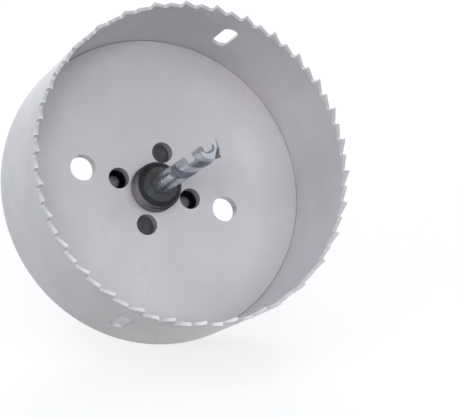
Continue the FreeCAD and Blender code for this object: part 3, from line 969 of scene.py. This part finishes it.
@dataclass
class PilotDrill:
    """The twist drill: two helical flutes that run out into a plain shank."""

    radius: float = 3.175
    reach: float = 63.0
    end: float = 43.0
    flute_start: float = 28.5
    flute_full: float = 34.0
    flute_turn: float = 5.3
    lead: float = 31.0
    flute_radius: float = 2.51
    flute_centre: float = 2.96
    margin: float = 0.12
    margin_span: float = 18.0
    relief_span: float = 22.0
    point: float = 126.0
    split_turn: float = -12.0
    split_slope: float = 56.0
    split_wall: float = 0.12
    split_block: float = 6.0
    shank_bevel: float = 0.5
    spare: float = 0.5
    clear: float = 1.0
    steps: int = 80

    def build(self) -> None:
        """Wind the flutes, grind the point and add the shank."""
        blank = Blank()
        loop = [blank.mesh.verts.new((x, y, self.flute_start)) for x, y in self.section()]
        face = blank.mesh.faces.new(loop)
        rise = self.reach + self.spare - self.flute_start
        bmesh.ops.spin(
            blank.mesh, geom=[face, *face.edges, *loop], cent=(0, 0, 0), axis=(0, 0, 1),
            angle=FULL_TURN * rise / self.lead, steps=self.steps, dvec=(0, 0, rise / self.steps),
        )
        blank.closed()
        self.fade(blank)
        start = self.flute_turn - 360 * (self.reach - self.flute_start) / self.lead
        blank.moved(Matrix.Rotation(math.radians(start), 4, "Z"))
        wide, foot = self.radius + self.spare, self.flute_start - self.clear
        cone = wide / math.tan(math.radians(self.point / 2))
        point = Blank.turned(
            [(0, self.reach), (wide, self.reach - cone), (wide, foot), (0, foot)], steps=64)
        for half in range(2):
            point.cut(self.notch(self.split_turn + 180 * half))
        blank.kept(point)
        blank.piece(
            "drill_flutes", Body.SAW, Slot.BRIGHT, GROUND_STEEL.material(), ["pilot_drill"],
            smooth=28)
        shank = Blank.turned(
            [(0, self.flute_start), (self.radius, self.flute_start),
             (self.radius, self.shank_bevel - self.end),
             (self.radius - self.shank_bevel, -self.end), (0, -self.end)], steps=64)
        shank.piece("drill_shank", Body.SAW, Slot.BRIGHT, SHANK_STEEL.material(), ["pilot_drill"])

    def section(self) -> list[tuple[float, float]]:
        """List the drill's section across its axis.

        Returns:
            Two lands, each with a raised margin, and two hollow flutes between them.
        """
        near, far, hollow = self.radius, self.flute_centre, self.flute_radius
        half = math.degrees(math.acos((far ** 2 + near ** 2 - hollow ** 2) / (2 * far * near)))
        mouth = math.degrees(math.atan2(
            near * math.sin(math.radians(half)), far - near * math.cos(math.radians(half))))
        points = []
        for side in (0.0, 180.0):
            turn = math.radians(side)
            flute = arc((far, 0), hollow, 180 + mouth, 180 - mouth, 12)[1:-1]
            relieved = arc((0, 0), near - self.margin, half + self.relief_span, 180 - half, 10)
            land = [*arc((0, 0), near, half, half + self.margin_span, 3), *relieved]
            for x, y in [*flute, *land]:
                points.append((x * math.cos(turn) - y * math.sin(turn),
                               x * math.sin(turn) + y * math.cos(turn)))
        return points

    def notch(self, turn: float) -> Blank:
        """Make the block that grinds away a land's heel and so splits the point.

        Args:
            turn: where the notch is, in degrees round the axis.

        Returns:
            The block, its edge along the land's middle and its floor sloping to the flute.
        """
        block = Blank()
        half = self.split_block / 2
        bmesh.ops.create_cube(block.mesh, size=self.split_block)
        block.moved(Matrix.Translation((half, half - self.split_wall, half)))
        lip = Matrix.Rotation(math.radians(self.point / 2 - 90), 4, "X")
        slope = Matrix.Rotation(math.radians(self.split_slope), 4, "Y")
        round_axis = Matrix.Rotation(math.radians(turn), 4, "Z")
        return block.moved(round_axis @ Matrix.Translation((0, 0, self.reach)) @ lip @ slope)

    def fade(self, blank: Blank) -> None:
        """Let the flutes run out: lift the low rings of the section back to the round.

        Args:
            blank: the drill, before it is turned to its place.
        """
        for vert in blank.mesh.verts:
            reach = math.hypot(vert.co.x, vert.co.y)
            depth = (vert.co.z - self.flute_start) / (self.flute_full - self.flute_start)
            if depth < 1:
                share = math.sin(max(0.0, depth) * math.pi / 2)
                lifted = self.radius + (reach - self.radius) * share
                vert.co.x *= lifted / reach
                vert.co.y *= lifted / reach


# ---------------------------------------------------------------- the studio


@dataclass
class Studio:
    """A pale floor, soft lamps, a white surround and the camera."""

    camera_at: tuple[float, float, float] = (-225.263, -601.812, 240.467)
    looks_at: tuple[float, float, float] = (23.281, -18.743, 38.374)
    lens: float = 158.95
    floor: str = "#747474"
    floor_seen: str = "#F2F2F2"
    floor_size: float = 12.0
    glow: float = 1.15
    glow_share: float = 0.65
    sky: str = "#DCE9F7"
    sky_strength: float = 0.55
    white: str = "#FFFFFF"
    card: str = "#1E2024"

    def build(self) -> None:
        """Set up what isn't part of the tool."""
        self.make_camera()
        self.make_floor()
        self.make_world()
        self.make_lamp("key", (-780, -1875, 900), 450.0, 10.5, "#FFFCF9")
        self.make_lamp("front", (300, -1650, 900), 800.0, 6.5, "#FFFCF9")
        self.make_lamp("left", (-1870, -870, 750), 900.0, 10.0, "#FFFDFA")
        self.make_lamp("back", (900, 1800, 1200), 1000.0, 20.0, "#FFFFFF")
        self.make_lamp("top", (-300, 300, 2200), 1300.0, 4.0, "#E4EDFF")
        self.make_card("right_card", (1300, -500, 650), 1700.0, self.looks_at)
        self.make_card("front_card", (700, -1500, 1300), 900.0, self.looks_at)
        self.make_card("mat", (330, -700, 1), 900.0, (330, -700, 1000))
        bpy.context.scene.view_settings.view_transform = "Standard"

    def make_camera(self) -> None:
        """Put the camera where the photograph was taken from."""
        data = bpy.data.cameras.new("camera")
        data.sensor_fit = "HORIZONTAL"
        data.sensor_width = 36.0
        data.lens = self.lens
        data.clip_end = 20.0
        camera = bpy.data.objects.new("camera", data)
        bpy.context.scene.collection.objects.link(camera)
        place, target = Vector(self.camera_at) * MM, Vector(self.looks_at) * MM
        turn = (target - place).to_track_quat("-Z", "Y").to_matrix().to_4x4()
        camera.matrix_world = Matrix.Translation(place) @ turn
        bpy.context.scene.camera = camera

    def make_lamp(
        self, name: str, place: tuple[float, float, float], size: float, power: float, tint: str
    ) -> None:
        """Add a square lamp that faces the tool.

        Args:
            name: its name.
            place: where it is, in millimetres.
            size: the length of its side, in millimetres.
            power: its power in watts.
            tint: its colour.
        """
        data = bpy.data.lights.new(name, "AREA")
        data.shape = "SQUARE"
        data.size = size * MM
        data.energy = power
        data.color = colour(tint)[:3]
        lamp = bpy.data.objects.new(name, data)
        bpy.context.scene.collection.objects.link(lamp)
        lamp.location = Vector(place) * MM
        aim = Vector(self.looks_at) * MM - lamp.location
        lamp.rotation_euler = aim.to_track_quat("-Z", "Y").to_euler()

    def make_card(
        self, name: str, place: tuple[float, float, float], size: float,
        faces: tuple[float, float, float],
    ) -> None:
        """Put a dark card near the tool, which only the metal and the paint mirror.

        Args:
            name: its name.
            place: where its middle is, in millimetres.
            size: the length of its side, in millimetres.
            faces: the point that it faces.
        """
        material, tree = new_material(name)
        rays = add(tree, "ShaderNodeLightPath", {})
        clear = add(tree, "ShaderNodeBsdfTransparent", {})
        matte = add(tree, "ShaderNodeBsdfDiffuse", {"Color": colour(self.card)})
        mixed = add(
            tree, "ShaderNodeMixShader",
            {0: rays.outputs["Is Glossy Ray"], 1: clear.outputs[0], 2: matte.outputs[0]})
        add(tree, "ShaderNodeOutputMaterial", {"Surface": mixed.outputs[0]})
        centre = Vector(place) * MM
        turn = (Vector(faces) * MM - centre).to_track_quat("Z", "Y").to_matrix().to_4x4()
        self.make_square(name, size * MM, Matrix.Translation(centre) @ turn, material)

    def make_floor(self) -> None:
        """Lay the pale floor, which looks white and keeps the tool's shadow."""
        material, tree = new_material("pale_floor")
        rays = add(tree, "ShaderNodeLightPath", {})
        seen = add(
            tree, "ShaderNodeMath",
            {0: rays.outputs["Is Camera Ray"], 1: rays.outputs["Is Glossy Ray"]},
            operation="MAXIMUM")
        shade = add(
            tree, "ShaderNodeMix",
            {"Factor": seen.outputs[0], "A": colour(self.floor), "B": colour(self.floor_seen)},
            data_type="RGBA",
        )
        matte = add(tree, "ShaderNodeBsdfDiffuse", {"Color": shade.outputs["Result"]})
        glow = add(
            tree, "ShaderNodeEmission", {"Color": colour(self.white), "Strength": self.glow})
        share = add(
            tree, "ShaderNodeMath", {0: seen.outputs[0], 1: self.glow_share},
            operation="MULTIPLY")
        mixed = add(
            tree, "ShaderNodeMixShader",
            {0: share.outputs[0], 1: matte.outputs[0], 2: glow.outputs[0]})
        add(tree, "ShaderNodeOutputMaterial", {"Surface": mixed.outputs[0]})
        self.make_square("floor", self.floor_size, Matrix.Identity(4), material)

    def make_square(
        self, name: str, size: float, lay: Matrix, material: bpy.types.Material
    ) -> None:
        """Add a flat square that isn't part of the tool.

        Args:
            name: its name.
            size: the length of its side, in metres.
            lay: its place and turn.
            material: its finish.
        """
        mesh = bmesh.new()
        bmesh.ops.create_grid(mesh, x_segments=1, y_segments=1, size=size / 2)
        bmesh.ops.transform(mesh, matrix=lay, verts=mesh.verts)
        data = bpy.data.meshes.new(name)
        mesh.to_mesh(data)
        mesh.free()
        data.materials.append(material)
        square = bpy.data.objects.new(name, data)
        bpy.context.scene.collection.objects.link(square)

    def make_world(self) -> None:
        """Make the surround white to the eye and plain for the light."""
        world = bpy.data.worlds.new("surround")
        world.use_nodes = True
        tree = world.node_tree
        tree.nodes.clear()
        rays = add(tree, "ShaderNodeLightPath", {})
        seen = add(
            tree, "ShaderNodeMath",
            {0: rays.outputs["Is Camera Ray"], 1: rays.outputs["Is Glossy Ray"]},
            operation="MAXIMUM")
        seen = add(
            tree, "ShaderNodeMath",
            {0: seen.outputs[0], 1: rays.outputs["Is Transmission Ray"]}, operation="MAXIMUM")
        plain = add(
            tree, "ShaderNodeBackground",
            {"Color": colour(self.sky), "Strength": self.sky_strength})
        white = add(
            tree, "ShaderNodeBackground", {"Color": colour(self.white), "Strength": 1.0})
        mixed = add(
            tree, "ShaderNodeMixShader",
            {0: seen.outputs[0], 1: plain.outputs[0], 2: white.outputs[0]})
        add(tree, "ShaderNodeOutputWorld", {"Surface": mixed.outputs[0]})
        bpy.context.scene.world = world


def main() -> None:
    """Build the tool and the studio."""
    logging.basicConfig(level=logging.INFO, format="%(name)s: %(message)s")
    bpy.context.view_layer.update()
    for part in (SawCup(), Arbor(), PilotDrill(), Studio()):
        log.info("building %s", type(part).__name__)
        part.build()


if __name__ == "__main__":
    main()
